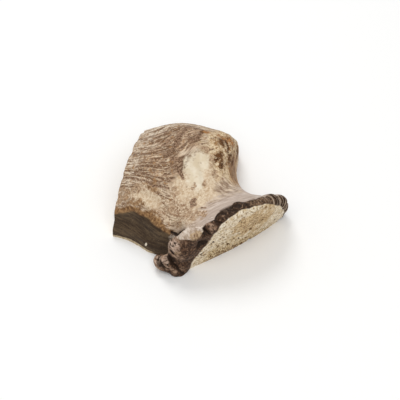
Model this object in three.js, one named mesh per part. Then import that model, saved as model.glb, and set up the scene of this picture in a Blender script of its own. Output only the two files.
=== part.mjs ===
import * as THREE from 'three';

// The base of a shed antler, sawn off short and split lengthwise, lying on its split face.
// Sizes are in millimetres and angles in degrees. Z is up and the split face is at Z = 0.
// The burr stands across X, and the beam grows from it towards +Y and bends towards -X.
// A turn of 0 is the near edge of the split face (-X), 90 the top and 180 the far edge (+X).

// The beam's axis is an arc in the split face. The origin is a point on it, under the middle of the beam.
const bendRadius = 77;
const beamLength = 56;
const originAlong = 26;

// The burr's top leans out over its foot, and its far end sits further up the beam than its near end.
// Both fade out towards the sawn end, which is square to the axis.
const burrLean = 14;
const burrSkew = 3.5;
const mostLean = 1.3;

// Half sections of the beam: place along the axis, reach to the near and the far side, and height.
// The far side narrows to the neck, then swells to the shoulder from which the lowest tine grew.
const beamSections = [
  { along: -2, near: 32, far: 30, height: 30 },
  { along: 3, near: 31.5, far: 28.5, height: 28.5 },
  { along: 9, near: 27.5, far: 23, height: 25 },
  { along: 15, near: 27.5, far: 22.5, height: 25 },
  { along: 21, near: 29, far: 28.5, height: 26.5 },
  { along: 28, near: 30, far: 43.5, height: 29 },
  { along: 36, near: 29.5, far: 41.5, height: 32.5 },
  { along: 45, near: 29, far: 37.5, height: 32.5 },
  { along: beamLength, near: 29, far: 32.5, height: 24 },
];

// The pedicle seal: the rough, slightly domed face where the antler broke from the skull.
const sealRim = { near: 22, far: 28, height: 29 };
const sealAlong = -2.5;
const sealDome = 1.2;

// The burr is a bead from the seal's rim back to the bark, much thicker at its near end.
const burrBack = { near: 10, elsewhere: 3.5 };
const burrRise = { near: 8, top: 1.5, far: 4 };
const nearFalloff = 4;
const farFalloff = 2;

// Knobs of the burr, with the notches between them as negative rises.
// Sweep runs across the burr, from 0 at the seal's rim to 1 at the bark.
const burrKnobs = [
  { turn: 5, sweep: 0.82, radius: 6, rise: 3.8 },
  { turn: 13, sweep: 0.62, radius: 5.5, rise: 2 },
  { turn: 2, sweep: 0.3, radius: 7, rise: 1.2 },
  { turn: 17, sweep: 0.5, radius: 3, rise: -1.4 },
  { turn: 27, sweep: 0.42, radius: 9, rise: 2.2 },
  { turn: 31, sweep: 0.8, radius: 6, rise: 2 },
  { turn: 37, sweep: 0.1, radius: 4, rise: -1.6 },
  { turn: 46, sweep: 0.55, radius: 6, rise: 1.5 },
  { turn: 53, sweep: 0.4, radius: 3, rise: -1.5 },
  { turn: 60, sweep: 0.42, radius: 5, rise: 2 },
  { turn: 68, sweep: 0.6, radius: 3, rise: -1.2 },
  { turn: 76, sweep: 0.5, radius: 5, rise: 1.8 },
  { turn: 84, sweep: 0.6, radius: 3, rise: -1 },
  { turn: 91, sweep: 0.48, radius: 5, rise: 1.8 },
  { turn: 103, sweep: 0.4, radius: 4.5, rise: 1.5 },
  { turn: 114, sweep: 0.4, radius: 4.5, rise: 1.4 },
  { turn: 128, sweep: 0.4, radius: 6, rise: 1.8 },
  { turn: 148, sweep: 0.4, radius: 6, rise: 1.5 },
  { turn: 166, sweep: 0.4, radius: 5, rise: 1.2 },
];

// The tongue of bark that laps the burr, and the crevice behind it.
// Share runs along the bark, from 0 at the burr to 1 at the sawn end.
const barkLumps = [
  { turn: 48, share: 0.03, radius: 7, rise: 1.8 },
  { turn: 41, share: 0.15, radius: 5, rise: -2.2 },
];

// Gutters that the velvet's blood vessels left along the beam: turn, half width in degrees and depth.
const gutters = [
  { turn: 19, halfWidth: 10, depth: 1.2 },
  { turn: 44, halfWidth: 5, depth: 0.6 },
  { turn: 63, halfWidth: 5, depth: 0.5 },
  { turn: 90, halfWidth: 6, depth: 0.7 },
  { turn: 108, halfWidth: 6, depth: 0.5 },
  { turn: 127, halfWidth: 7, depth: 0.5 },
  { turn: 148, halfWidth: 7, depth: 0.5 },
  { turn: 166, halfWidth: 6, depth: 0.5 },
];
const gutterStart = 0.12;
const gutterFull = 0.45;

// Shallow hollows and one swelling of the seal, placed by turn and by share of the way to its rim.
const sealHollows = [
  { turn: 20, share: 0.62, radius: 5, rise: -0.8 },
  { turn: 48, share: 0.8, radius: 4.5, rise: -0.7 },
  { turn: 62, share: 0.4, radius: 5, rise: -0.8 },
  { turn: 96, share: 0.72, radius: 5.5, rise: 0.7 },
  { turn: 126, share: 0.62, radius: 5, rise: -0.7 },
  { turn: 152, share: 0.8, radius: 4.5, rise: -0.6 },
];

// Mesh: columns around the half section, and rows on the seal, the burr and the bark.
const columns = 66;
const sealRows = 10;
const burrRows = 16;
const barkRows = 36;
const lowestInside = 0.2;

const radians = THREE.MathUtils.degToRad;
const mix = THREE.MathUtils.lerp;

// A smooth curve through the sections, with the slope at each one taken from its neighbours.
function beamSize(key, along) {
  const last = beamSections.length - 1;
  let low = 0;
  while (low < last - 1 && along > beamSections[low + 1].along) low += 1;
  const slope = (index) => {
    const before = beamSections[Math.max(index - 1, 0)];
    const after = beamSections[Math.min(index + 1, last)];
    return (after[key] - before[key]) / (after.along - before.along);
  };
  const from = beamSections[low];
  const to = beamSections[low + 1];
  const span = to.along - from.along;
  const t = (along - from.along) / span;
  return (1 + 2 * t) * (1 - t) ** 2 * from[key]
    + t * (1 - t) ** 2 * span * slope(low)
    + t ** 2 * (3 - 2 * t) * to[key]
    + t ** 2 * (t - 1) * span * slope(low + 1);
}

// A half ellipse that reaches from the near side over the top to the far side.
function halfSection(turn, { near, far, height }) {
  const angle = radians(turn);
  return {
    side: (far - near) / 2 - (far + near) / 2 * Math.cos(angle),
    height: height * Math.sin(angle),
  };
}

function barkSection(turn, along) {
  const size = {
    near: beamSize('near', along),
    far: beamSize('far', along),
    height: beamSize('height', along),
  };
  return halfSection(turn, size);
}

// Carries a point from the straight beam onto the bent axis, with the burr's lean and skew.
function onBentBeam(along, side, height) {
  const fade = THREE.MathUtils.clamp(1 - along / beamLength, 0, mostLean);
  const skewed = Math.tan(radians(burrSkew)) * side;
  const leant = Math.tan(radians(burrLean)) * height;
  const angle = (along + fade * (skewed - leant)) / bendRadius;
  const reach = bendRadius + side;
  return new THREE.Vector3(reach * Math.cos(angle) - bendRadius, reach * Math.sin(angle), height);
}

function nearShare(turn) {
  return Math.max(Math.cos(radians(turn)), 0) ** nearFalloff;
}

function burrBackAlong(turn) {
  return mix(burrBack.elsewhere, burrBack.near, nearShare(turn));
}

function sealPoint(turn, share) {
  const middle = (sealRim.far - sealRim.near) / 2;
  const rim = halfSection(turn, sealRim);
  const along = sealAlong - sealDome * (1 - share ** 2);
  return onBentBeam(along, mix(middle, rim.side, share), rim.height * share);
}

function burrPoint(turn, sweep) {
  const angle = radians(turn);
  const farShare = Math.max(-Math.cos(angle), 0) ** farFalloff;
  const rise = burrRise.top
    + (burrRise.near - burrRise.top) * nearShare(turn)
    + (burrRise.far - burrRise.top) * farShare;
  const bulge = rise * Math.sin(Math.PI * sweep);
  const across = (1 - Math.cos(Math.PI * sweep)) / 2;
  const front = halfSection(turn, sealRim);
  const back = barkSection(turn, burrBackAlong(turn));
  const along = mix(sealAlong, burrBackAlong(turn), across);
  const side = mix(front.side, back.side, across) - bulge * Math.cos(angle);
  return onBentBeam(along, side, mix(front.height, back.height, across) + bulge * Math.sin(angle));
}

function barkPoint(turn, share) {
  const along = mix(burrBackAlong(turn), beamLength, share);
  const { side, height } = barkSection(turn, along);
  return onBentBeam(along, side, height);
}

// The bare surface, row by row from the seal's middle to the sawn end.
const turns = Array.from({ length: columns + 1 }, (_, column) => 180 * column / columns);
const bareRows = [];
const gutterShares = [];

function addRows(point, count, gutterShare) {
  for (let row = 1; row <= count; row += 1) {
    const share = row / count;
    bareRows.push(turns.map((turn) => point(turn, share)));
    gutterShares.push(gutterShare(share));
  }
}

addRows(sealPoint, sealRows, () => 0);
addRows(burrPoint, burrRows, () => 0);
addRows(barkPoint, barkRows, (share) => THREE.MathUtils.smoothstep(share, gutterStart, gutterFull));

// Lumps and hollows, each a round swelling about a point of the bare surface.
const lumps = [
  ...burrKnobs.map(({ turn, sweep, radius, rise }) => ({ centre: burrPoint(turn, sweep), radius, rise })),
  ...barkLumps.map(({ turn, share, radius, rise }) => ({ centre: barkPoint(turn, share), radius, rise })),
  ...sealHollows.map(({ turn, share, radius, rise }) => ({ centre: sealPoint(turn, share), radius, rise })),
];

function lumpRelief(point) {
  let relief = 0;
  for (const { centre, radius, rise } of lumps) {
    const distance = point.distanceTo(centre) / radius;
    if (distance < 1) relief += rise * (1 - distance ** 2) ** 2;
  }
  return relief;
}

function gutterRelief(turn) {
  let relief = 0;
  for (const gutter of gutters) {
    const distance = (turn - gutter.turn) / gutter.halfWidth;
    if (Math.abs(distance) < 1) relief -= gutter.depth * (1 - distance ** 2) ** 2;
  }
  return relief;
}

function outwardNormal(row, column) {
  const above = bareRows[Math.min(row + 1, bareRows.length - 1)][column];
  const below = bareRows[Math.max(row - 1, 0)][column];
  const nearer = bareRows[row][Math.max(column - 1, 0)];
  const further = bareRows[row][Math.min(column + 1, columns)];
  const alongBeam = above.clone().sub(below);
  const aroundBeam = further.clone().sub(nearer);
  return aroundBeam.cross(alongBeam).normalize();
}

// Raises the relief along the surface's normals. The edges of the split face stay in its plane.
function finishedPoint(row, column) {
  const bare = bareRows[row][column];
  const relief = lumpRelief(bare) + gutterShares[row] * gutterRelief(turns[column]);
  const point = bare.clone().addScaledVector(outwardNormal(row, column), relief);
  const onSplitFace = column === 0 || column === columns;
  point.z = onSplitFace ? 0 : Math.max(point.z, lowestInside);
  return point;
}

const origin = onBentBeam(originAlong, 0, 0);
const sealMiddle = sealPoint(0, 0);
const skinPoints = bareRows.flatMap((line, row) => line.map((_, column) => finishedPoint(row, column)));
const points = [sealMiddle, ...skinPoints];
const corner = (row, column) => 1 + row * (columns + 1) + column;
const triangles = [];

// The rounded skin: a fan about the seal's middle, then a net of quads.
for (let column = 0; column < columns; column += 1) {
  triangles.push([0, corner(0, column + 1), corner(0, column)]);
  for (let row = 0; row < bareRows.length - 1; row += 1) {
    const here = [corner(row, column), corner(row, column + 1)];
    const next = [corner(row + 1, column), corner(row + 1, column + 1)];
    triangles.push([here[0], next[1], next[0]], [here[0], here[1], next[1]]);
  }
}

// A flat face inside an outline of corners, drawn in the plane of two axes and turned to face a direction.
function addFlatFace(outline, across, up, facing) {
  const flat = outline.map((index) => new THREE.Vector2(points[index].dot(across), points[index].dot(up)));
  for (const face of THREE.ShapeUtils.triangulateShape(flat, [])) {
    const [a, b, c] = face.map((index) => outline[index]);
    const normal = points[b].clone().sub(points[a]).cross(points[c].clone().sub(points[a]));
    triangles.push(normal.dot(facing) > 0 ? [a, b, c] : [a, c, b]);
  }
}

const lastRow = bareRows.length - 1;
const up = new THREE.Vector3(0, 0, 1);
const sawnOutline = turns.map((_, column) => corner(lastRow, column));
const sawnAcross = points[corner(lastRow, columns)].clone().sub(points[corner(lastRow, 0)]).normalize();
addFlatFace(sawnOutline, sawnAcross, up, up.clone().cross(sawnAcross));

const nearEdge = bareRows.map((_, row) => corner(row, 0));
const farEdge = bareRows.map((_, row) => corner(row, columns)).reverse();
const splitOutline = [0, ...nearEdge, ...farEdge];
addFlatFace(splitOutline, new THREE.Vector3(1, 0, 0), new THREE.Vector3(0, 1, 0), up.clone().negate());

const geometry = new THREE.BufferGeometry();
geometry.setFromPoints(points);
geometry.setIndex(triangles.flat());
geometry.translate(-origin.x, -origin.y, 0);
geometry.computeVertexNormals();

const bark = new THREE.MeshStandardMaterial({ color: 0xb39a78, roughness: 0.7, metalness: 0 });
const antler = new THREE.Mesh(geometry, bark);
antler.name = 'antler';

const part = new THREE.Group();
part.add(antler);

export default part;
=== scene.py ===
import math
import bpy
import numpy as np
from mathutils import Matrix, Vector
from mathutils.geometry import delaunay_2d_cdt
from mathutils.kdtree import KDTree

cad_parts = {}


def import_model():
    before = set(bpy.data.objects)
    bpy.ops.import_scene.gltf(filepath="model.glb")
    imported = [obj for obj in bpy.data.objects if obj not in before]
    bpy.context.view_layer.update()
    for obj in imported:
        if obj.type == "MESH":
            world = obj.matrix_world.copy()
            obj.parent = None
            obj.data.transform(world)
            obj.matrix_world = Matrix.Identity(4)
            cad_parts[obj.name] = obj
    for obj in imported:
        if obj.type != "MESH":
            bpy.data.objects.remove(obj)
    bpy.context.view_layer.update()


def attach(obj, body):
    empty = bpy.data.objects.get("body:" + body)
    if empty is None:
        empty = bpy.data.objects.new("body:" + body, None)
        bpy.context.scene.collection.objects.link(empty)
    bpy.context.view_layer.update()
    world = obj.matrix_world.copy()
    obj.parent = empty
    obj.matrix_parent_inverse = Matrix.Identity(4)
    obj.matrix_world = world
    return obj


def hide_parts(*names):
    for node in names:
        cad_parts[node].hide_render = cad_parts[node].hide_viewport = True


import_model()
mm = 0.001

# Half antler, in mm and degrees, about the middle of the burr: +Y up the beam, +X to the far side.
# A turn of 0 is the near edge of the split face, 90 the top and 180 the far edge.
beam = {
    "bendRadius": 77.0,
    "length": 56.0,
    "originAlong": 26.0,  # where the frame's origin is on the axis
    "lean": 14.0,         # the burr's top leans out over its foot
    "skew": 3.5,          # its far end sits further up the beam
    "mostLean": 1.3,
    # along the axis, near half width, far half width, height
    "sections": [(-2, 32, 30, 30), (3, 31.5, 28.5, 28.5), (9, 27.5, 23, 25), (15, 27.5, 22.5, 25),
                 (21, 29, 28.5, 26.5), (28, 30, 43.5, 29), (36, 29.5, 41.5, 32.5),
                 (45, 29, 37.5, 32.5), (56, 29, 32.5, 24)],
    "roundRadius": 30.0,  # usual radius, which turns degrees into mm around the beam
}
seal = {"near": 22.0, "far": 28.0, "height": 29.0, "along": -2.5, "dome": 1.2}
# how far up the beam the burr's back edge is, how far it rises, and how fast that fades from its two ends
burr = {"backNear": 10.0, "back": 3.5, "riseNear": 8.0, "riseTop": 1.5, "riseFar": 4.0,
        "nearPower": 4, "farPower": 2}


def smoothStep(low, high, value):
    t = np.clip((value - low) / (high - low), 0, 1)
    return t * t * (3 - 2 * t)


# a repeatable value from -1 to 1 for each cell of a unit lattice, mixed from its whole numbers
def cellValue(cell, seed):
    mixed = (cell * np.array([374761393, 668265263, 1274126177])).sum(-1) + seed * 951274213
    mixed = mixed & 0xFFFFFFFF
    mixed = ((mixed ^ (mixed >> 13)) * 1274126177) & 0xFFFFFFFF
    return (mixed ^ (mixed >> 16)) / 2147483647.5 - 1


# smooth noise from -1 to 1 between the cells' values
def latticeNoise(coords, seed):
    cell = np.floor(coords).astype(np.int64)
    part = coords - cell
    part = part * part * (3 - 2 * part)
    total = np.zeros(coords.shape[:-1])
    for corner in np.ndindex(2, 2, 2):
        total += np.prod(np.where(corner, part, 1 - part), axis=-1) * cellValue(cell + corner, seed)
    return total


def layeredNoise(coords, seed, layers=3):
    total = np.zeros(coords.shape[:-1])
    for layer in range(layers):
        total += latticeNoise(coords * 2 ** layer, seed + layer) / 2 ** layer
    return total / (2 - 2 ** (1 - layers))


# distance to the nearest seed, one in each cell within 0.4 of its middle, and that seed's own value
def nearestSeed(coords, seed):
    cell = np.floor(coords).astype(np.int64)
    near = np.full(coords.shape[:-1], 9.0)
    value = np.zeros(near.shape)
    for offset in np.ndindex(3, 3, 3):
        key = cell + np.array(offset) - 1
        jitter = np.stack([cellValue(key, seed + k) for k in range(3)], -1) * 0.4 + 0.5
        distance = np.linalg.norm(key + jitter - coords, axis=-1)
        value = np.where(distance < near, cellValue(key, seed + 3), value)
        near = np.minimum(near, distance)
    return near, value


# one column of the beam's sections, as a smooth curve through them
def beamSize(column, along):
    sections = np.array(beam["sections"], float)
    at, size = sections[:, 0], sections[:, column]
    last = np.maximum(np.arange(len(at)) - 1, 0)
    following = np.minimum(np.arange(len(at)) + 1, len(at) - 1)
    slope = (size[following] - size[last]) / (at[following] - at[last])
    low = np.clip(np.searchsorted(at, along, side="right") - 1, 0, len(at) - 2)
    span = at[low + 1] - at[low]
    t = (along - at[low]) / span
    return ((1 + 2 * t) * (1 - t) ** 2 * size[low] + t * (1 - t) ** 2 * span * slope[low]
            + t ** 2 * (3 - 2 * t) * size[low + 1] + t ** 2 * (t - 1) * span * slope[low + 1])


def halfSection(turn, near, far, height):
    angle = np.radians(turn)
    return (far - near) / 2 - (far + near) / 2 * np.cos(angle), height * np.sin(angle)


def barkSection(turn, along):
    return halfSection(turn, beamSize(1, along), beamSize(2, along), beamSize(3, along))


def onBentBeam(along, side, height):
    fade = np.clip(1 - along / beam["length"], 0, beam["mostLean"])
    skewed = math.tan(math.radians(beam["skew"])) * side
    leant = math.tan(math.radians(beam["lean"])) * height
    angle = (along + fade * (skewed - leant)) / beam["bendRadius"]
    radius = beam["bendRadius"] + side
    return np.stack([radius * np.cos(angle) - beam["bendRadius"], radius * np.sin(angle),
                     height + 0 * radius], -1)


def nearShare(turn):
    return np.clip(np.cos(np.radians(turn)), 0, 1) ** burr["nearPower"]


def burrBackAlong(turn):
    return burr["back"] + (burr["backNear"] - burr["back"]) * nearShare(turn)


def sealPoint(turn, share):
    middle = (seal["far"] - seal["near"]) / 2
    side, height = halfSection(turn, seal["near"], seal["far"], seal["height"])
    along = seal["along"] - seal["dome"] * (1 - share ** 2)
    return onBentBeam(along, middle + (side - middle) * share, height * share), along + 0 * turn


def burrPoint(turn, sweep):
    angle = np.radians(turn)
    farShare = np.clip(-np.cos(angle), 0, 1) ** burr["farPower"]
    rise = (burr["riseTop"] + (burr["riseNear"] - burr["riseTop"]) * nearShare(turn)
            + (burr["riseFar"] - burr["riseTop"]) * farShare)
    bulge = rise * np.sin(np.pi * sweep)
    across = (1 - np.cos(np.pi * sweep)) / 2
    frontSide, frontHeight = halfSection(turn, seal["near"], seal["far"], seal["height"])
    backSide, backHeight = barkSection(turn, burrBackAlong(turn))
    along = seal["along"] * (1 - across) + burrBackAlong(turn) * across
    side = frontSide * (1 - across) + backSide * across - bulge * np.cos(angle)
    height = frontHeight * (1 - across) + backHeight * across + bulge * np.sin(angle)
    return onBentBeam(along, side, height), along


def barkPoint(turn, share):
    along = burrBackAlong(turn) * (1 - share) + beam["length"] * share
    return onBentBeam(along, *barkSection(turn, along)), along


# reach runs over the whole skin: -1 to 0 on the seal, 0 to 1 on the burr, 1 to 2 on the bark
def skinPoint(turn, reach):
    pointOf, start = (sealPoint, -1) if reach <= 0 else (burrPoint, 0) if reach <= 1 else (barkPoint, 1)
    return pointOf(np.asarray(turn, float), reach - start)


burrMiddle = -onBentBeam(np.array(beam["originAlong"]), np.array(0.0), np.array(0.0))

# The photo's view: from the burr's near side and well above, with the burr right of the middle.
view = {"azimuth": -35.0, "elevation": 50.0, "distance": 600.0, "mmPerPixel": 0.45,
        "pixels": 400, "burrPixel": (228.9, 242.9), "clipStart": 10.0}


def placeCamera():
    azimuth, elevation = math.radians(view["azimuth"]), math.radians(view["elevation"])
    back = Vector((math.sin(azimuth) * math.cos(elevation), -math.cos(azimuth) * math.cos(elevation),
                   math.sin(elevation)))
    right = Vector((math.cos(azimuth), math.sin(azimuth), 0))
    up = back.cross(right)
    half = view["pixels"] / 2
    offRight = (half - view["burrPixel"][0]) * view["mmPerPixel"] * mm
    offUp = (view["burrPixel"][1] - half) * view["mmPerPixel"] * mm
    middle = Vector(burrMiddle) * mm
    place = middle + back * view["distance"] * mm
    aim = middle + right * offRight + up * offUp
    camera = bpy.data.objects.new("photoView", bpy.data.cameras.new("photoView"))
    camera.data.angle = 2 * math.atan(half * view["mmPerPixel"] / view["distance"])
    camera.data.clip_start = view["clipStart"] * mm
    camera.location = place
    camera.rotation_euler = (aim - place).to_track_quat("-Z", "Y").to_euler()
    bpy.context.collection.objects.link(camera)
    bpy.context.scene.camera = camera


placeCamera()
print("camera placed")

# how finely the skin is drawn: points around it, and rows of points on each stretch
net = {"columns": 300, "sealRows": 64, "burrRows": 64, "barkRows": 150}


# bare surface: rows from the seal's middle over the burr and up the bark, columns around the half section
def bareSurface():
    turns = np.linspace(0, 180, net["columns"] + 1)
    stretches = ((-1, net["sealRows"]), (0, net["burrRows"]), (1, net["barkRows"]))
    reaches = np.concatenate([start + np.arange(1, rows + 1) / rows for start, rows in stretches])
    rows = [skinPoint(turns, reach) for reach in reaches]
    turnGrid, reachGrid = np.meshgrid(turns, reaches)
    return np.array([row[0] for row in rows]), turnGrid, np.array([row[1] for row in rows]), reachGrid


bare, turn, along, reach = bareSurface()
side, height = bare[..., 0], bare[..., 2]
around = np.radians(turn) * beam["roundRadius"]


def surfaceNormals(points):
    normal = np.cross(np.gradient(points, axis=1), np.gradient(points, axis=0))
    return normal / np.maximum(np.linalg.norm(normal, axis=-1, keepdims=True), 1e-9)


# The grain runs down the beam and swirls where a tine left it. Each of its lines keeps one value of a
# height in mm, which is a plain curve plus a swirl that fades away from its middle.
grainRun = {
    "fromTurn": 80.0, "fromAlong": 36.0, "unit": 20.0, "slope": 0.2, "bends": (-0.45, 0.25, -0.43),
    "swirlTurn": 95.0, "swirlAlong": 32.0, "swirlRadius": 18.0, "swirl": (-0.62, 0.86, -0.53),
    "plainTurns": (125.0, 155.0), "waver": 0.4, "waverSize": 7.0,
    "lapSlope": 0.12,   # the skirt's own grain runs round the burr
}


def grainLines():
    degree = math.radians(1) * beam["roundRadius"]
    up = (turn - grainRun["fromTurn"]) * degree / grainRun["unit"]
    down = (along - grainRun["fromAlong"]) / grainRun["unit"]
    upHere = (turn - grainRun["swirlTurn"]) * degree / grainRun["unit"]
    downHere = (along - grainRun["swirlAlong"]) / grainRun["unit"]
    near = np.exp(-(upHere ** 2 + downHere ** 2) * (grainRun["unit"] / grainRun["swirlRadius"]) ** 2)
    upUp, upDown, downDown = grainRun["bends"]
    lift, downLift, upLift = grainRun["swirl"]
    level = up + grainRun["slope"] * down + upUp * up ** 2 + upDown * up * down + downDown * down ** 2
    level += near * (lift + downLift * downHere + upLift * upHere)
    plain = smoothStep(*grainRun["plainTurns"], turn)
    level = (level * (1 - plain) + up * plain) * grainRun["unit"]
    level += grainRun["waver"] * layeredNoise(bare / grainRun["waverSize"], 21, 2)
    return np.stack([along, level, around], -1)


grain = grainLines()
lap = np.stack([around, along + grainRun["lapSlope"] * around, 0 * along], -1)

# edges of zones and strokes wander with this noise: mm of one wave, and how far it moves them
wander = {"size": 4.0, "edge": 0.3}
wobble = layeredNoise(bare / wander["size"], 11, 4)


# an oval zone: 1 inside, 0.5 at its edge and 0 well outside
def zone(atTurn, atAlong, halfTurn, halfAlong, strength=1.0):
    distance = np.hypot((turn - atTurn) / halfTurn, (along - atAlong) / halfAlong)
    return strength * np.clip(1.5 - distance + wander["edge"] * wobble, 0, 1)


# above 0.5 where value is past edge, fading over fade
def past(value, edge, fade):
    return np.clip(0.5 + (value - edge) / fade, 0, 1)


# above 0.5 where value hasn't reached edge
def before(value, edge, fade):
    return np.clip(0.5 + (edge - value) / fade, 0, 1)


# where seal, burr and bark meet: turn and reach along each edge, its wobble, and the fade across it
meeting = {
    "seal": [(0, 0.0), (20, -0.07), (43, -0.1), (55, 0.03), (66, 0.25), (85, 0.31), (107, 0.22),
             (128, 0.1), (142, 0.05), (150, 0.0), (160, 0.06), (180, 0.1)],
    # the bark laps over the burr in a tongue, and again at the far side
    "bark": [(0, 1.0), (36.5, 1.0), (38.5, 0.68), (45, 0.42), (52, 0.38), (57, 0.56), (64, 0.58),
             (70, 0.67), (76, 0.92), (82, 1.02), (93, 1.02), (99, 0.85), (105, 0.6), (180, 0.5)],
    "sealWobble": 0.05, "barkWobble": 0.04, "tongueWobble": 0.1, "tongueTurns": (66, 58), "fade": 0.1,
}
barkWobble = meeting["barkWobble"] + meeting["tongueWobble"] * smoothStep(*meeting["tongueTurns"], turn)
sealReach = np.interp(turn, *zip(*meeting["seal"])) + meeting["sealWobble"] * wobble
barkReach = np.interp(turn, *zip(*meeting["bark"])) + barkWobble * wobble
onBark = past(reach, barkReach, meeting["fade"])
onSeal = before(reach, sealReach, meeting["fade"])
onBurr = np.minimum(past(reach, sealReach, meeting["fade"]), 1 - onBark)

# ovals of colour: turn, along, half width in degrees, half length in mm, and strength if it isn't 1
ovals = {
    "pallid": [(122, 50, 26, 8), (97, 54, 9, 3), (65, 53, 14, 6)],      # pale streaks by the saw cut
    "dusky": [(72, 39, 15, 11), (100, 40, 16, 7), (118, 39, 9, 4)],     # dark streaks on top
    "mottled": [(44, 34, 10, 18), (56, 20, 14, 11)],                    # near side, over the wall
    "umber": [(43, 52, 8, 5), (37, 43, 4, 8), (36, 30, 3.5, 8), (52, 38, 4, 5)],    # patches there
    "lobe": [(126, 26, 30, 9)],                                         # shoulder, where a tine left
    "flank": [(143, 19, 14, 5.5)],                                      # far side of the neck
    "pale": [(86, 20, 18, 7), (68, 26, 9, 5), (43, 37, 5, 8)],          # cream around the ivory
    "worn": [(86, 27.5, 13, 5.6), (84, 22.5, 8, 3)],                    # ivory patch
    # faint brown marks, dark marks and rusty ones
    "tinge": [(78.6, 22.4, 4, 1.6), (90.6, 20.6, 4, 1.4), (66, 12, 6, 2), (50, 24, 6, 3), (60, 27, 4, 3),
              (48, 46, 5, 4), (100, 30, 5, 2), (106, 21.5, 6, 1.6), (98, 34.3, 4, 2.2),
              (113, 35, 4, 1.6), (110, 32.9, 2.5, 0.9), (58, 14.5, 8, 4.5), (101, 25.5, 4, 2),
              (109, 21, 5, 2), (115, 18.5, 5, 1.6), (46, 53, 8, 4), (70, 9, 6, 2.5)],
    "stain": [(120, 28.5, 5, 2.2), (126, 27.6, 4, 1.8), (127, 25.6, 3.5, 1.4), (111, 25.2, 9, 1.5),
              (115, 22.8, 5, 1.9), (152, 25, 3, 2), (131, 23.5, 4, 1.6), (138, 22.5, 4, 1.6),
              (118, 35, 4, 1.5)],
    "rusty": [(125, 31, 4, 1.4), (126, 29.8, 4, 1.2), (131, 28, 4, 1.3), (136, 26.8, 4, 1.2),
              (122, 34.5, 5, 1.4)],
    "burrBrown": [(111, 0, 11, 6)],
    "ochre": [(48, 0.9, 7, 1.9), (27, 1.9, 3.5, 1.6, 0.55)],
}
zones = {name: np.maximum.reduce([zone(*oval) for oval in places]) for name, places in ovals.items()}
ochreFrom = 0.1     # reach, so that it stays off the seal
zones["burrBrown"] = np.minimum(onBurr, zones["burrBrown"])
zones["ochre"] = zones["ochre"] * (reach > ochreFrom)

# pale skirt above the burr; here and below, a pair is an edge and its fade
skirt = {"top": (12, 14), "wobble": 3.0, "fromTurn": (56, 24), "fromReach": 0.4}
zones["skirt"] = (before(along + skirt["wobble"] * wobble, *skirt["top"])
                  * past(turn, *skirt["fromTurn"]) * (reach > skirt["fromReach"]))

# the near wall reaches higher towards the burr, with a rusty fringe above it and a pale rim at its foot
nearWall = {"topTurn": 28.0, "rise": 3.0, "riseAlong": (45, 25), "wobble": 2.5, "fade": 5.0,
            "fringe": 5.5, "fringeFade": 6.0, "rimTurn": (2.6, 2), "rimReach": (1.3, 0.2)}
wallTop = (nearWall["topTurn"] + nearWall["rise"] * smoothStep(*nearWall["riseAlong"], along)
           + nearWall["wobble"] * wobble)
zones["fringe"] = before(turn, wallTop + nearWall["fringe"], nearWall["fringeFade"]) * (reach > 1)
zones["wall"] = before(turn, wallTop, nearWall["fade"]) * (reach > 1)
zones["rim"] = before(turn, *nearWall["rimTurn"]) * past(reach, *nearWall["rimReach"])

# pale tongue of bark over the burr
tongue = {"back": (1.12, 0.5), "fromTurn": (34, 6), "toTurn": (62, 16)}
zones["tongue"] = (np.minimum(onBark, before(reach, *tongue["back"]))
                   * past(turn, *tongue["fromTurn"]) * before(turn, *tongue["toTurn"]))

# painted light: the back of the burr's near end, which faces the lamp, is painted paler; the burr is
# darkest from its top round to the far side
burrTone = {"litReach": (0.62, 0.4), "litTurn": (44, 20), "farTurn": (72, 40)}
zones["burr"] = onBurr
zones["burrPale"] = (np.minimum(onBurr, past(reach, *burrTone["litReach"]))
                     * before(turn, *burrTone["litTurn"]))
zones["burrFar"] = np.minimum(onBurr, past(turn, *burrTone["farTurn"]))

# the seal has a round tan patch and a browner foot, which thins out to the near side
sealTone = {"tanAt": (110, -0.35), "tanRadius": 12.0, "tanWobble": 0.6,
            "footHeight": (8, 20), "footTilt": 0.25, "footSides": (-24, -8)}
tanDistance = np.linalg.norm(bare - skinPoint(*sealTone["tanAt"])[0], axis=-1) / sealTone["tanRadius"]
zones["seal"] = onSeal
zones["sealTan"] = np.minimum(onSeal, np.clip(1.5 - tanDistance + sealTone["tanWobble"] * wobble, 0, 1))
footLevel = height + sealTone["footTilt"] * side
zones["sealFoot"] = (np.minimum(onSeal, before(footLevel, *sealTone["footHeight"]))
                     * smoothStep(*sealTone["footSides"], side))
print("colour zones laid", len(zones))

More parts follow.
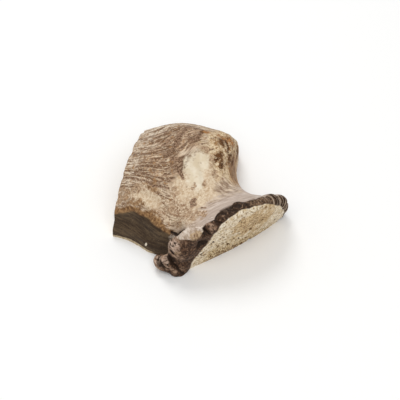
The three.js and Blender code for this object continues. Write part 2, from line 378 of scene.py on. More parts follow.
# coarse shape: the solid's knobs, hollows and gutters, with a fuller near foot and three swellings more
coarse = {
    # turn, place across the burr (0 seal rim, 1 bark), radius, rise
    "burrKnobs": [
        # near foot: three knobs over a notch
        (5.5, 0.8, 5, 6.2), (13, 0.57, 4.5, 3), (3, 0.22, 7, 2.8), (0, 0.68, 5.5, -3),
        # heel, tongue and on round to the far side
        (17, 0.5, 3, -1.4), (27, 0.42, 9, 2.2), (31, 0.8, 6, 2), (37, 0.1, 4, -1.6), (46, 0.55, 6, 1.5),
        (53, 0.4, 3, -1.5), (60, 0.42, 5, 2), (68, 0.6, 3, -1.2), (76, 0.5, 5, 1.8), (84, 0.6, 3, -1),
        (91, 0.48, 5, 1.8), (103, 0.4, 4.5, 1.5), (114, 0.4, 4.5, 1.4), (128, 0.4, 6, 1.8),
        (148, 0.4, 6, 1.5), (166, 0.4, 5, 1.2),
        # swellings on the tongue and on top
        (41, 0.68, 3.5, 0.9), (49, 0.62, 4, 0.9), (95, 0.8, 4, 1),
    ],
    # turn, place along the bark (0 burr, 1 saw cut), radius, rise
    "barkLumps": [(48, 0.03, 7, 1.8), (41, 0.15, 5, -2.2)],
    # turn, share of the way to the seal's rim, radius, rise
    "sealHollows": [(20, 0.62, 5, -0.8), (48, 0.8, 4.5, -0.7), (62, 0.4, 5, -0.8), (96, 0.72, 5.5, 0.7),
                    (126, 0.62, 5, -0.7), (152, 0.8, 4.5, -0.6)],
    # turn, half width, depth
    "gutters": [(19, 10, 1.2), (44, 5, 0.6), (63, 5, 0.5), (90, 6, 0.7), (108, 6, 0.5), (127, 7, 0.5),
                (148, 7, 0.5), (166, 6, 0.5)],
    "gutterReach": (1.12, 1.45), "gutterWander": 2.0, "gutterWave": 14.0,
}


def coarseRelief():
    relief = np.zeros(turn.shape)
    kinds = ((burrPoint, "burrKnobs"), (barkPoint, "barkLumps"), (sealPoint, "sealHollows"))
    for pointOf, kind in kinds:
        for atTurn, share, radius, rise in coarse[kind]:
            distance = np.linalg.norm(bare - pointOf(np.array(float(atTurn)), share)[0], axis=-1) / radius
            relief += rise * np.clip(1 - distance ** 2, 0, 1) ** 2
    strength = smoothStep(*coarse["gutterReach"], reach)
    turned = turn + coarse["gutterWander"] * latticeNoise(bare / coarse["gutterWave"], 3)
    for atTurn, halfWidth, depth in coarse["gutters"]:
        distance = (turned - atTurn) / halfWidth
        relief -= strength * depth * np.clip(1 - distance ** 2, 0, 1) ** 2
    return relief


# how far a stroke through these points, each a turn and a reach, covers the skin
def stroke(halfWidth, path, stepsEach=8):
    covered = np.zeros(turn.shape)
    for step in np.linspace(0, len(path) - 1, 1 + stepsEach * (len(path) - 1)):
        t, r = (np.interp(step, range(len(path)), [point[k] for point in path]) for k in (0, 1))
        distance = np.linalg.norm(bare - skinPoint(t, r)[0], axis=-1) / halfWidth
        covered = np.maximum(covered, np.clip(1 - (distance + wander["edge"] * wobble) ** 2, 0, 1) ** 2)
    return covered


# creases and holes: half width and depth in mm, and the points they run through; they are also painted
# dark as painted shade
creases = [
    # near foot
    (2.4, 2.8, [(10.5, 0.65), (9, 0.64)]), (1.1, 1.0, [(9.5, 0.47)]), (1.0, 0.7, [(26, 0.55)]),
    (1.0, 0.7, [(20.5, 0.44)]), (1.0, 1.8, [(18.5, 0.65), (16, 0.52), (10, 0.29)]),
    (0.9, 1.2, [(10, 0.29), (6, 0.22), (2, 0.14)]),
    # top of the burr
    (1.7, 1.2, [(31, 0.04), (39, -0.06)]), (0.9, 1.0, [(55, 0.5), (49, 0.1)]),
    (0.7, 0.6, [(66, 0.45), (67, 0.3)]), (0.9, 0.7, [(75, 0.85), (77, 0.5)]),
    (0.8, 0.6, [(84, 0.85), (86, 0.4)]), (1.7, 0.6, [(89, 0.85), (90, 0.5)]),
    (0.7, 0.6, [(97, 0.7), (97, 0.35)]),
    # behind the heel and the tongue
    (1.8, 1.2, [(36.5, 1.12), (39, 1.07)]), (0.9, 0.9, [(38, 1.14), (44, 1.13), (49, 1.07)]),
    (1.3, 0.9, [(34, 1.2), (35, 1.02)]), (0.8, 0.5, [(35, 0.97), (35, 0.88)]),
    # seal
    (0.9, 0.7, [(82.8, -0.16)]), (0.7, 0.5, [(85, -0.21)]), (0.7, 0.5, [(102.6, -0.08)]),
    (0.8, 0.5, [(52, -0.44)]), (0.8, 0.5, [(85, -0.59)]), (0.7, 0.5, [(111, -0.53)]),
    (0.8, 0.5, [(33, -0.28)]), (0.7, 0.4, [(41, -0.22)]), (0.7, 0.4, [(62, -0.5)]),
]


def creaseRelief():
    relief = np.zeros(turn.shape)
    dark = np.zeros(turn.shape)
    for halfWidth, depth, path in creases:
        covered = stroke(halfWidth, path)
        relief = np.minimum(relief, -depth * covered)
        dark = np.maximum(dark, covered)
    return relief, dark


# strokes that are only colour: half width in mm, and the points they run through
markings = {
    # brown smears on the bark
    "smear": [
        (1.6, [(79, 1.68), (86, 1.675)]), (1.4, [(87.6, 1.76), (93.6, 1.74)]),
        (1.9, [(91, 1.68), (99, 1.69), (117, 1.7)]), (1.6, [(105, 1.59), (123, 1.62)]),
        (1.3, [(126, 1.74), (120, 1.69)]), (1.3, [(98, 1.6), (105, 1.6)]),
        (1.2, [(63.3, 1.99), (55.2, 1.81), (53.4, 1.65), (58.2, 1.52)]),
        (1.0, [(64.2, 1.89), (59.4, 1.75)]), (0.9, [(68.4, 1.89), (66, 1.75)]),
        (1.6, [(74, 1.57), (71, 1.48)]), (2.2, [(79, 1.63), (80, 1.57)]),
        (2.0, [(70, 1.275), (74, 1.28)]), (1.8, [(68, 1.25), (72, 1.24)]), (1.0, [(70.8, 1.41)]),
        (0.6, [(102, 1.482), (107, 1.473)]), (1.5, [(84, 1.66), (88, 1.673), (92, 1.668)]),
        (0.7, [(74, 1.18), (77, 1.15)]),
    ],
    # painted highlights on the tops of the knobs, where the light catches them
    "rubbed": [(2.2, [(30, 0.66), (33, 0.62)]), (2.0, [(11, 0.76), (7, 0.72)]),
               (1.6, [(16, 0.58), (12, 0.53)])],
    "chafed": [(3.6, [(31, 1.14), (33, 1.02), (32, 0.96)])],    # grey skin behind the heel
    "chip": [(0.65, [(8.5, 1.42), (6.5, 1.427)])],              # on the foot of the near wall
}
for name, paths in markings.items():
    zones[name] = np.maximum.reduce([stroke(*path) for path in paths])

# fine relief: heights, depths and sizes in mm; grit is on the bark and the seal alike
fine = {"crisp": (0.3, 0.7), "smoothOn": {"worn": 1.0, "pale": 0.7, "skirt": 0.8},
        "grit": 0.1, "gritSize": 0.9, "lessOnLobe": 0.5}
barkShare, burrShare, sealShare = (smoothStep(*fine["crisp"], part) for part in (onBark, onBurr, onSeal))
smooth = np.maximum.reduce([share * zones[name] for name, share in fine["smoothOn"].items()])
rough = barkShare * (1 - smooth)
grit = fine["grit"] * layeredNoise(bare / fine["gritSize"], 55, 2)

# grooves follow the grain, thick on the brown side and thin on the worn places; the shoulder has nodules
barkFine = {"grooveLong": 9.0, "grooveWide": 0.75, "groove": 0.25, "ridge": 0.2, "start": 0.15,
            "ramp": 0.4, "moreOn": (72, 44, 34, 18, 0.2), "lessOnMottled": 0.15, "lessOnSmooth": 0.8,
            "nodule": 0.3, "noduleSize": 1.6}


def barkRelief():
    cell = (barkFine["grooveLong"], barkFine["grooveWide"], barkFine["grooveLong"])
    strokes = layeredNoise(grain / cell, 51, 2)
    amount = (zone(*barkFine["moreOn"]) - barkFine["lessOnMottled"] * zones["mottled"]
              - barkFine["lessOnSmooth"] * smooth)
    groove = smoothStep(0, barkFine["ramp"], strokes + amount - barkFine["start"]) * barkShare
    nodules = zones["lobe"] * layeredNoise(bare / barkFine["noduleSize"], 57, 2)
    raised = barkFine["ridge"] * strokes + grit + barkFine["nodule"] * nodules
    return rough * raised - barkFine["groove"] * groove, groove


# wrinkles all over the burr, and ribs across it that are clearest at its far tip
burrFine = {"wrinkle": 0.7, "wrinkleSize": 3.0, "wrinkleLevel": 0.3, "rib": 0.2, "ribSpacing": 1.7,
            "ribWaver": 0.2, "ribTurns": (80, 140), "ribTops": (0.3, 0.9)}


def burrRelief():
    wrinkles = np.abs(layeredNoise(bare / burrFine["wrinkleSize"], 64, 3)) - burrFine["wrinkleLevel"]
    ribs = np.cos(2 * np.pi * (around / burrFine["ribSpacing"] + burrFine["ribWaver"] * wobble))
    ribShare = smoothStep(*burrFine["ribTurns"], turn) * burrShare
    relief = burrShare * burrFine["wrinkle"] * wrinkles + ribShare * burrFine["rib"] * ribs
    return relief, smoothStep(*burrFine["ribTops"], ribs) * ribShare


# pits of the seal crowd towards its foot, and leave its near corner clear
sealFine = {"pit": 0.6, "crowd": 0.8, "thinning": 11.0, "patchy": 0.8, "patchSize": 6.0,
            "fromTurn": (4, 24),
            # spacing, rim and floor as shares of it, waver, how much rarer, seed
            "pits": [(1.3, 0.42, 0.24, 0.1, 0.0, 71), (2.6, 0.4, 0.2, 0.2, 0.35, 75)]}


def sealRelief():
    crowd = (sealFine["crowd"] - height / sealFine["thinning"]
             + sealFine["patchy"] * layeredNoise(bare / sealFine["patchSize"], 72, 2))
    pits = np.zeros(turn.shape)
    for spacing, rim, floor, waver, rarer, seed in sealFine["pits"]:
        near, pick = nearestSeed(bare / spacing, seed)
        pits = np.maximum(pits, smoothStep(rim, floor, near + waver * wobble) * (pick < crowd - rarer))
    pits = pits * sealShare * smoothStep(*sealFine["fromTurn"], turn)
    return sealShare * grit - sealFine["pit"] * pits, pits


# the creases' cover is painted shade in them
creased, zones["crevice"] = creaseRelief()
barked, zones["groove"] = barkRelief()
burred, zones["rib"] = burrRelief()
pitted, zones["pit"] = sealRelief()
zones["rough"] = rough * (1 - fine["lessOnLobe"] * zones["lobe"])
heights = coarseRelief() + creased + barked + burred + pitted


# how far each point stands above or below the average of its neighbours, in mm
def standing(rounds):
    level = heights.copy()
    for _ in range(rounds):
        padded = np.pad(level, 1, mode="edge")
        level = (padded[:-2, 1:-1] + padded[2:, 1:-1] + padded[1:-1, :-2] + padded[1:-1, 2:]) / 4
    return heights - level


# painted light on the burr: painted shade in its hollows and painted highlights on its crests, but not
# close to the floor or on its front
hollowShade = {"rounds": 60, "from": (0.45, 1.2)}
crestHighlight = {"rounds": 240, "from": (0.4, 1.2), "toTurn": (66, 18), "offFloor": (3.5, 4),
          "front": 0.1, "frontFade": 0.4, "heel": 0.4, "heelTurns": (12, 31),
          "pastTongue": -0.28, "tongueTurns": (40, 58)}
highlightFront = (crestHighlight["front"] + crestHighlight["heel"] * smoothStep(*crestHighlight["heelTurns"], turn)
              + crestHighlight["pastTongue"] * smoothStep(*crestHighlight["tongueTurns"], turn))
zones["hollow"] = np.minimum(onBurr, past(-standing(hollowShade["rounds"]), *hollowShade["from"]))
zones["crest"] = (np.minimum(onBurr, past(standing(crestHighlight["rounds"]), *crestHighlight["from"]))
                  * before(turn, *crestHighlight["toTurn"]) * past(reach, highlightFront, crestHighlight["frontFade"])
                  * past(height, *crestHighlight["offFloor"]))

lowest = 0.1    # the skin between its two edges stays this far above the split face
finished = bare + surfaceNormals(bare) * heights[..., None]
finished[:, [0, -1], 2] = 0
finished[:, 1:-1, 2] = np.maximum(finished[:, 1:-1, 2], lowest)
print("surface shaped", finished.shape)


# which points lie inside a closed outline, by counting the edges to their right
def insideOutline(places, outline):
    inside = np.zeros(len(places), bool)
    for (x0, y0), (x1, y1) in zip(outline, np.roll(outline, -1, axis=0)):
        if y0 != y1:
            crosses = (places[:, 1] < y0) != (places[:, 1] < y1)
            inside ^= crosses & (places[:, 0] < x0 + (places[:, 1] - y0) * (x1 - x0) / (y1 - y0))
    return inside


# rings of the sawn end, mm between the split face's points, and shares of that for their jitter and margin
cuts = {"sawRings": 20, "splitStep": 1.3, "jitter": 0.3, "margin": 0.6, "weld": 1e-7, "sharpAngle": 55.0}


# closes the rounded skin with the sawn end and the flat split face
def closedMesh():
    rows, columns = finished.shape[:2]
    skin = finished.reshape(-1, 3)

    def corner(row, column):
        return 1 + row * columns + column

    points = [sealPoint(np.array(0.0), 0.0)[0][None], skin]
    row, column = np.meshgrid(np.arange(rows - 1), np.arange(columns - 1), indexing="ij")
    quads = np.stack([corner(row, column), corner(row, column + 1), corner(row + 1, column + 1),
                      corner(row + 1, column)], -1).reshape(-1, 4)
    faces = quads.tolist() + [[0, corner(0, k + 1), corner(0, k)] for k in range(columns - 1)]
    skinFaces = len(faces)
    count = 1 + len(skin)
    # sawn end: rings that shrink to the middle of its foot
    edge = finished[-1]
    foot = (edge[0] + edge[-1]) / 2
    rings = [[corner(rows - 1, k) for k in range(columns)]]
    for ring in range(1, cuts["sawRings"]):
        points.append(foot + (edge - foot) * (1 - ring / cuts["sawRings"]))
        rings.append(list(range(count, count + columns)))
        count += columns
    points.append(foot[None])
    footIndex = count
    count += 1
    for outer, inner in zip(rings, rings[1:]):
        faces += [[outer[k], outer[k + 1], inner[k + 1], inner[k]] for k in range(columns - 1)]
    faces += [[rings[-1][k], rings[-1][k + 1], footIndex] for k in range(columns - 1)]
    # split face: outline of the skin's two edges and the saw cut's foot, filled with scattered points
    outline = [0] + [corner(k, 0) for k in range(rows)] + [ring[0] for ring in rings[1:]] + [footIndex]
    outline += [ring[-1] for ring in rings[:0:-1]]
    outline += [corner(k, columns - 1) for k in range(rows - 1, -1, -1)]
    border = np.concatenate(points)[outline][:, :2]
    step = cuts["splitStep"]
    low, high = border.min(0), border.max(0)
    gridX, gridY = np.meshgrid(np.arange(low[0], high[0], step), np.arange(low[1], high[1], step))
    scatter = np.stack([gridX, gridY], -1).reshape(-1, 2)
    scatter += np.random.default_rng(7).uniform(-cuts["jitter"], cuts["jitter"], scatter.shape) * step
    borderTree = KDTree(len(border))
    for index, (x, y) in enumerate(border):
        borderTree.insert((x, y, 0), index)
    borderTree.balance()
    clear = np.array([borderTree.find((x, y, 0))[2] for x, y in scatter])
    scatter = scatter[(clear > cuts["margin"] * step) & insideOutline(scatter, border)]
    coords = [Vector(p) for p in np.concatenate([border, scatter])]
    loop = list(range(len(border)))
    found, _, flat, sources, _, _ = delaunay_2d_cdt(coords, [], [loop], 1, cuts["weld"], True)
    index = {}
    extra = []
    for made, source in enumerate(sources):
        if source and source[0] < len(border):
            index[made] = outline[source[0]]
        else:
            index[made] = count + len(extra)
            extra.append((found[made][0], found[made][1], 0.0))
    points.append(np.array(extra))
    middles = np.array([sum((found[k] for k in face), Vector((0, 0))) / 3 for face in flat])
    kept = insideOutline(middles, border)
    for face in [face for face, keep in zip(flat, kept) if keep]:
        a, b, c = (found[k] for k in face)
        turnsLeft = (b - a).cross(c - a) > 0
        order = reversed(face) if turnsLeft else face
        faces.append([index[k] for k in order])
    kinds = [0] * skinFaces + [1] * (len(faces) - skinFaces)
    return np.concatenate(points), faces, kinds


points, faces, kinds = closedMesh()
print("mesh closed", len(points), "points", len(faces), "faces")

mesh = bpy.data.meshes.new("antler_bone")
mesh.from_pydata(((points + burrMiddle) * mm).tolist(), [], faces)
mesh.polygons.foreach_set("material_index", kinds)
mesh.polygons.foreach_set("use_smooth", [True] * len(faces))
mesh.set_sharp_from_angle(angle=math.radians(cuts["sharpAngle"]))

# what the materials read at each point: how far each zone covers it, and three sets of mm coordinates
cutPoints = points[1 + turn.size:]
onCuts = np.zeros(len(cutPoints))
for name, values in zones.items():
    layer = mesh.attributes.new(name, "FLOAT", "POINT")
    layer.data.foreach_set("value", np.concatenate([values[0, :1], values.ravel(), onCuts]))
for name, values in {"grain": grain, "lap": lap, "place": bare}.items():
    layer = mesh.attributes.new(name, "FLOAT_VECTOR", "POINT")
    vectors = np.concatenate([values[0, :1], values.reshape(-1, 3), cutPoints])
    layer.data.foreach_set("vector", vectors.ravel())

# depth in mm under the bark on the sawn and split faces
edgeTree = KDTree(finished.shape[0] * 2 + finished.shape[1])
for index, point in enumerate(np.concatenate([finished[:, 0], finished[:, -1], finished[-1]])):
    edgeTree.insert(point, index)
edgeTree.balance()
depth = np.concatenate([np.zeros(1 + turn.size), [edgeTree.find(p)[2] for p in cutPoints]])
mesh.attributes.new("depth", "FLOAT", "POINT").data.foreach_set("value", depth)
mesh.validate()


def linearColour(hexCode):
    srgb = [int(hexCode[k:k + 2], 16) / 255 for k in (1, 3, 5)]
    return [c / 12.92 if c <= 0.04045 else ((c + 0.055) / 1.055) ** 2.4 for c in srgb] + [1.0]


# Adds a node, sets its properties, and fills its inputs with values, hex colours or (node, output) links.
# A colour mix takes its share at 0 and its two colours at 6 and 7, and gives the result at 2.
def addNode(tree, kind, props, inputs):
    made = tree.nodes.new(kind)
    for key, value in props.items():
        setattr(made, key, value)
    for key, value in inputs.items():
        if isinstance(value, tuple) and isinstance(value[0], bpy.types.Node):
            tree.links.new(value[0].outputs[value[1]], made.inputs[key])
        else:
            made.inputs[key].default_value = linearColour(value) if isinstance(value, str) else value
    return made


def newMaterial(name):
    material = bpy.data.materials.new(name)
    material.use_nodes = True
    material.node_tree.nodes.clear()
    return material, material.node_tree


# patterns: coordinates they follow, mm of one patch each way, detail, darkest and lightest value
patterns = {
    "bands": ("grain", (14.0, 3.5, 14.0), 5.0, 0.36, 0.64),
    "streaks": ("grain", (6.0, 1.3, 6.0), 5.0, 0.36, 0.64),
    # real fibres are under 0.2 mm, too fine to show, so these are drawn coarser
    "threads": ("grain", (2.6, 0.8, 2.6), 3.0, 0.34, 0.66),
    "laps": ("lap", (9.0, 1.0, 9.0), 5.0, 0.25, 0.75),
    "specks": ("place", (0.7, 0.7, 0.7), 1.0, 0.35, 0.65),
    "grit": ("place", (1.1, 1.1, 1.1), 4.0, 0.3, 0.7),
    "flecks": ("place", (1.8, 1.8, 1.8), 4.0, 0.4, 0.6),
    "patches": ("place", (5.0, 5.0, 5.0), 5.0, 0.35, 0.65),
}
# Coats, each over the last: zone, zone value where it starts, pattern that frays its edge and how far,
# pattern inside it, dark and light colour. One that starts past 1 is flecks on its zone, where the fraying
# pattern is high, or low if the fraying is negative.
coats = [
    # bark
    ("pallid", 0.5, "bands", 1.5, "streaks", "#a68a70", "#f0e1cb"),
    ("dusky", 0.5, "bands", 1.5, "streaks", "#5d402b", "#c7aa8d"),
    ("mottled", 0.5, "patches", 1.5, "grit", "#ae8d70", "#e2d1b5"),
    ("lobe", 0.5, "patches", 1.5, "grit", "#ab875e", "#eedcba"),
    ("lobe", 1.25, "patches", 4.0, "specks", "#755230", "#b48d60"),
    ("flank", 0.45, "bands", 1.0, "streaks", "#755539", "#caa67e"),
    ("flank", 1.1, "threads", 2.5, "grit", "#513620", "#7d5c3f"),
    ("groove", 0.5, "threads", 1.5, "grit", "#5f4531", "#86684e"),
    ("rough", 1.2, "threads", 2.5, "grit", "#654731", "#8c6d52"),
    ("rough", 1.3, "threads", -2.5, "grit", "#cdb799", "#e6d4ba"),
    ("rough", 1.4, "flecks", 4.0, "grit", "#805a36", "#b58d62"),
    ("rough", 1.35, "specks", 2.5, "grit", "#5f4430", "#8a6b50"),
    ("rough", 1.5, "specks", -2.5, "grit", "#cdb799", "#e6d4ba"),
    ("mottled", 1.25, "specks", 2.5, "grit", "#6b4a30", "#946f4e"),
    ("mottled", 1.3, "flecks", 4.0, "specks", "#70503a", "#a8886a"),
    ("lobe", 1.15, "flecks", 4.0, "specks", "#58391e", "#a8794a"),
    ("pale", 0.5, "patches", 1.5, "grit", "#c0a382", "#e4d3b8"),
    ("pale", 1.4, "specks", 2.5, "grit", "#8b6846", "#b3926a"),
    ("skirt", 0.5, "laps", 1.5, "laps", "#a59081", "#ddcec1"),
    ("skirt", 1.15, "laps", 2.5, "grit", "#8c7767", "#b29e8e"),
    ("skirt", 1.25, "laps", -2.5, "grit", "#dccfc3", "#eee4da"),
    ("worn", 0.55, "flecks", 2.5, "patches", "#d9c8ab", "#e8dcc6"),
    # stains on the bark
    ("umber", 0.8, "flecks", 4.0, "grit", "#6f5135", "#b3906b"),
    ("tinge", 0.8, "flecks", 4.0, "specks", "#8f7258", "#c2a688"),
    ("smear", 0.5, "grit", 3.5, "specks", "#5a402c", "#9c7e65"),
    ("stain", 0.7, "flecks", 4.0, "specks", "#54351c", "#a87a48"),
    ("stain", 1.0, "specks", 4.0, "grit", "#2e1a0c", "#67411f"),
    ("rusty", 0.7, "specks", 3.5, "grit", "#6a3f1e", "#c48d54"),
    # near wall
    ("fringe", 0.5, "patches", 1.5, "grit", "#5a3a22", "#ad875c"),
    ("wall", 0.5, "patches", 1.0, "bands", "#3a2b1e", "#62503b"),
    ("wall", 1.15, "streaks", 2.2, "grit", "#2d2015", "#4a3a2a"),
    ("wall", 1.5, "specks", 2.5, "grit", "#241910", "#3a2b1d"),
    ("wall", 1.6, "specks", -2.5, "grit", "#6b573f", "#857058"),
    ("chafed", 0.4, "specks", 4.0, "grit", "#655749", "#b0a294"),
    ("chip", 0.4, "grit", 1.0, "grit", "#c9b99e", "#efe6d6"),
    ("rim", 0.5, "flecks", 1.0, "grit", "#a08a6c", "#cdbb9c"),
    # tongue and burr
    ("tongue", 0.5, "laps", 1.5, "grit", "#a0876f", "#e6d8ca"),
    ("tongue", 1.2, "flecks", 3.0, "grit", "#7f6753", "#a68d77"),
    ("burr", 0.5, "flecks", 1.0, "grit", "#2c1b10", "#604431"),
    # painted light on the lit back of the burr's near end
    ("burrPale", 0.45, "patches", 1.0, "grit", "#664932", "#bca089"),
    ("burrFar", 0.5, "patches", 1.5, "grit", "#180e08", "#553e2c"),
    ("burrBrown", 0.5, "flecks", 2.5, "grit", "#38261a", "#84684f"),
    # painted highlight on the burr's crests
    ("crest", 0.45, "flecks", 2.0, "grit", "#5f432f", "#b89a82"),
    # painted highlights on the knob tops
    ("rubbed", 0.5, "flecks", 2.5, "grit", "#7d6350", "#cbb29f"),
    ("burr", 1.25, "specks", 2.5, "grit", "#1f130b", "#3d2b1e"),
    ("burr", 1.4, "specks", -2.5, "grit", "#7a5c44", "#a1846b"),
    ("ochre", 0.7, "flecks", 3.0, "grit", "#8f7150", "#d0b593"),
    ("ochre", 1.45, "specks", 3.0, "grit", "#593a28", "#7f6049"),
    ("rib", 0.5, "flecks", 2.0, "grit", "#7a624c", "#bda994"),
    # painted shade in the burr's hollows
    ("hollow", 0.5, "flecks", 1.0, "grit", "#1d120b", "#3d2b1e"),
    # seal
    ("seal", 0.5, "flecks", 0.5, "grit", "#c4a97f", "#f7eedb"),
    ("sealTan", 0.55, "patches", 3.0, "grit", "#a88557", "#e0c9a2"),
    ("sealFoot", 0.5, "patches", 2.0, "grit", "#ad8e62", "#ead8b2"),
    ("seal", 1.4, "specks", 2.5, "grit", "#6a4b2b", "#94713f"),
    ("seal", 1.5, "flecks", 4.0, "grit", "#5d4225", "#94713f"),
    ("sealTan", 1.2, "specks", 2.5, "grit", "#67482a", "#8f6b40"),
    ("sealFoot", 0.95, "specks", 3.0, "grit", "#4f341b", "#7d5a33"),
    ("sealFoot", 1.0, "flecks", 4.0, "grit", "#4f3419", "#8a663a"),
    # painted shade in the creases, then the pits, over all
    ("crevice", 0.45, "flecks", 2.5, "grit", "#1d120b", "#3d2b1e"),
    ("pit", 0.5, "grit", 0.6, "grit", "#3a2512", "#7a5931"),
]
# the colours under all coats, the softness of a coat's edge, and bump depths in mm
antlerSkin = {"dark": "#7d6049", "light": "#e4d0b7", "frayWidth": 0.25, "noiseRoughness": 0.65,
              "bump": 0.5, "fibreDepth": 0.15, "gritDepth": 0.2, "roughness": 0.6, "wornRoughness": 0.45}


# Antler bone as it grew: velvet rubbed off, stained by bark and soil, worn to ivory on the high places.
# Grey-brown streaks run along the beam, the burr is nearly black, and the seal is cream with dark pits.
def weatheredAntler():
    material, tree = newMaterial("weatheredAntlerRubbed")
    read, noise, spread = {}, {}, {}
    for name in sorted({coat[0] for coat in coats} | {pattern[0] for pattern in patterns.values()}):
        read[name] = addNode(tree, "ShaderNodeAttribute", {"attribute_name": name}, {})
    for name, (follows, size, detail, low, high) in patterns.items():
        scaled = addNode(tree, "ShaderNodeVectorMath", {"operation": "DIVIDE"},
                         {0: (read[follows], "Vector"), 1: size})
        noise[name] = addNode(tree, "ShaderNodeTexNoise", {},
                              {"Vector": (scaled, 0), "Scale": 1.0, "Detail": detail,
                               "Roughness": antlerSkin["noiseRoughness"]})
        spread[name] = addNode(tree, "ShaderNodeMapRange", {"interpolation_type": "SMOOTHSTEP"},
                               {"Value": (noise[name], "Fac"), "From Min": low, "From Max": high})
    colour = addNode(tree, "ShaderNodeMix", {"data_type": "RGBA"},
                     {0: (spread["streaks"], 0), 6: antlerSkin["dark"], 7: antlerSkin["light"]})
    for where, start, frayedBy, fray, pattern, dark, light in coats:
        ragged = addNode(tree, "ShaderNodeMath", {"operation": "MULTIPLY_ADD"},
                         {0: (noise[frayedBy], "Fac"), 1: fray, 2: 1 - fray / 2})
        frayed = addNode(tree, "ShaderNodeMath", {"operation": "MULTIPLY"},
                         {0: (ragged, 0), 1: (read[where], "Fac")})
        covers = addNode(tree, "ShaderNodeMapRange", {"interpolation_type": "SMOOTHSTEP"},
                         {"Value": (frayed, 0), "From Min": start - antlerSkin["frayWidth"],
                          "From Max": start + antlerSkin["frayWidth"]})
        coat = addNode(tree, "ShaderNodeMix", {"data_type": "RGBA"},
                       {0: (spread[pattern], 0), 6: dark, 7: light})
        colour = addNode(tree, "ShaderNodeMix", {"data_type": "RGBA"},
                         {0: (covers, 0), 6: (colour, 2), 7: (coat, 2)})
    fibres = addNode(tree, "ShaderNodeBump", {},
                     {"Strength": antlerSkin["bump"], "Distance": antlerSkin["fibreDepth"] * mm,
                      "Height": (noise["threads"], "Fac")})
    gritty = addNode(tree, "ShaderNodeBump", {},
                     {"Strength": antlerSkin["bump"], "Distance": antlerSkin["gritDepth"] * mm,
                      "Height": (noise["grit"], "Fac"), "Normal": (fibres, 0)})
    roughness = addNode(tree, "ShaderNodeMapRange", {},
                        {"Value": (read["worn"], "Fac"), "To Min": antlerSkin["roughness"],
                         "To Max": antlerSkin["wornRoughness"]})
    skin = addNode(tree, "ShaderNodeBsdfPrincipled", {},
                   {"Base Color": (colour, 2), "Roughness": (roughness, 0), "IOR": 1.54,
                    "Specular IOR Level": 0.15, "Normal": (gritty, 0)})
    addNode(tree, "ShaderNodeOutputMaterial", {}, {"Surface": (skin, 0)})
    return material


# sizes and depths in mm; noise adds up to coreRagged to the depth under the bark, for a ragged edge
sawnBone = {"cloudSize": 6.0, "coreFrom": 8.0, "coreFull": 12.0, "coreRagged": 6.0,
            "poreSpacing": 1.1, "poreWarp": 2.0, "poreEdge": (0.25, 0.5), "poreDepth": 0.4,
            "poreBump": 0.8, "wallDark": "#cbb48f", "wallLight": "#e2d5bb", "core": "#b08f66",
            "pore": "#4f3720"}


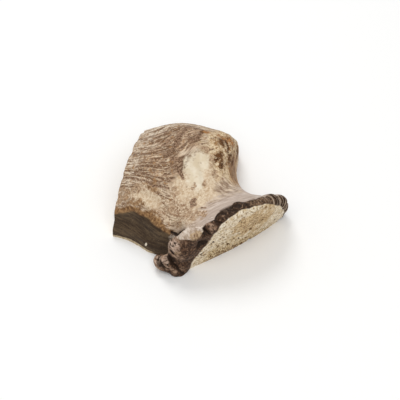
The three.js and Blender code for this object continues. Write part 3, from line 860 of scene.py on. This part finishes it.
# Antler bone as the saw left it: a pale dense wall about 6 mm thick around a brown spongy core with
# open pores.
def sawnAntler():
    material, tree = newMaterial("sawnAntlerBone")
    place = addNode(tree, "ShaderNodeTexCoord", {}, {})
    depthRead = addNode(tree, "ShaderNodeAttribute", {"attribute_name": "depth"}, {})
    clouds = addNode(tree, "ShaderNodeTexNoise", {},
                     {"Vector": (place, "Object"), "Scale": 1 / (sawnBone["cloudSize"] * mm),
                      "Detail": 4.0})
    ragged = addNode(tree, "ShaderNodeMath", {"operation": "MULTIPLY_ADD"},
                     {0: (clouds, "Fac"), 1: sawnBone["coreRagged"], 2: (depthRead, "Fac")})
    core = addNode(tree, "ShaderNodeMapRange", {"interpolation_type": "SMOOTHSTEP"},
                   {"Value": (ragged, 0), "From Min": sawnBone["coreFrom"],
                    "From Max": sawnBone["coreFull"]})
    warped = addNode(tree, "ShaderNodeVectorMath", {"operation": "MULTIPLY_ADD"},
                     {0: (clouds, "Color"), 1: [sawnBone["poreWarp"] * mm] * 3, 2: (place, "Object")})
    cells = addNode(tree, "ShaderNodeTexVoronoi", {},
                    {"Vector": (warped, 0), "Scale": 1 / (sawnBone["poreSpacing"] * mm)})
    poreFrom, poreTo = sawnBone["poreEdge"]
    holes = addNode(tree, "ShaderNodeMapRange", {"interpolation_type": "SMOOTHSTEP"},
                    {"Value": (cells, "Distance"), "From Min": poreFrom, "From Max": poreTo,
                     "To Min": 1.0, "To Max": 0.0})
    pores = addNode(tree, "ShaderNodeMath", {"operation": "MULTIPLY"}, {0: (holes, 0), 1: (core, 0)})
    wall = addNode(tree, "ShaderNodeMix", {"data_type": "RGBA"},
                   {0: (clouds, "Fac"), 6: sawnBone["wallDark"], 7: sawnBone["wallLight"]})
    spongy = addNode(tree, "ShaderNodeMix", {"data_type": "RGBA"},
                     {0: (core, 0), 6: (wall, 2), 7: sawnBone["core"]})
    colour = addNode(tree, "ShaderNodeMix", {"data_type": "RGBA"},
                     {0: (pores, 0), 6: (spongy, 2), 7: sawnBone["pore"]})
    bump = addNode(tree, "ShaderNodeBump", {"invert": True},
                   {"Strength": sawnBone["poreBump"], "Distance": sawnBone["poreDepth"] * mm,
                    "Height": (pores, 0)})
    skin = addNode(tree, "ShaderNodeBsdfPrincipled", {},
                   {"Base Color": (colour, 2), "Roughness": 0.7, "IOR": 1.54, "Normal": (bump, 0)})
    addNode(tree, "ShaderNodeOutputMaterial", {}, {"Surface": (skin, 0)})
    return material


mesh.materials.append(weatheredAntler())
mesh.materials.append(sawnAntler())
antler = bpy.data.objects.new("antler_bone", mesh)
bpy.context.collection.objects.link(antler)
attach(antler, "root")
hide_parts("antler")
print("antler made")

# studio: white sweep, even sky, a soft light behind the object to the left and a wide one over the camera
studio = {
    "floorSize": 4.0, "floor": "#fdfdfc", "sky": 0.52,
    # metres to the right, away from the camera and up, then width and power
    "lamps": {"softKey": (-0.18, 0.44, 0.82, 0.45, 2.7), "wideFill": (0.05, -0.5, 0.85, 1.0, 3.8)},
}


def lightStudio():
    bpy.ops.mesh.primitive_plane_add(size=studio["floorSize"])
    floor = bpy.context.object
    floor.name = "floor"
    # matt white paper, which shows nothing but the soft shadow
    material, tree = newMaterial("whitePaperSweep")
    paper = addNode(tree, "ShaderNodeBsdfPrincipled", {},
                    {"Base Color": studio["floor"], "Roughness": 0.9, "Specular IOR Level": 0.1})
    addNode(tree, "ShaderNodeOutputMaterial", {}, {"Surface": (paper, 0)})
    floor.data.materials.append(material)
    world = bpy.data.worlds.new("softSky")
    world.use_nodes = True
    world.node_tree.nodes["Background"].inputs["Color"].default_value = (1, 1, 1, 1)
    world.node_tree.nodes["Background"].inputs["Strength"].default_value = studio["sky"]
    bpy.context.scene.world = world
    azimuth = math.radians(view["azimuth"])
    right = Vector((math.cos(azimuth), math.sin(azimuth), 0))
    away = Vector((-math.sin(azimuth), math.cos(azimuth), 0))
    for name, (toRight, toAway, toUp, width, power) in studio["lamps"].items():
        light = bpy.data.lights.new(name, "AREA")
        light.shape = "DISK"
        light.size = width
        light.energy = power
        lamp = bpy.data.objects.new(name, light)
        lamp.location = right * toRight + away * toAway + Vector((0, 0, toUp))
        lamp.rotation_euler = (-lamp.location).to_track_quat("-Z", "Y").to_euler()
        bpy.context.collection.objects.link(lamp)
    bpy.context.scene.view_settings.view_transform = "Standard"


lightStudio()
print("studio lit")
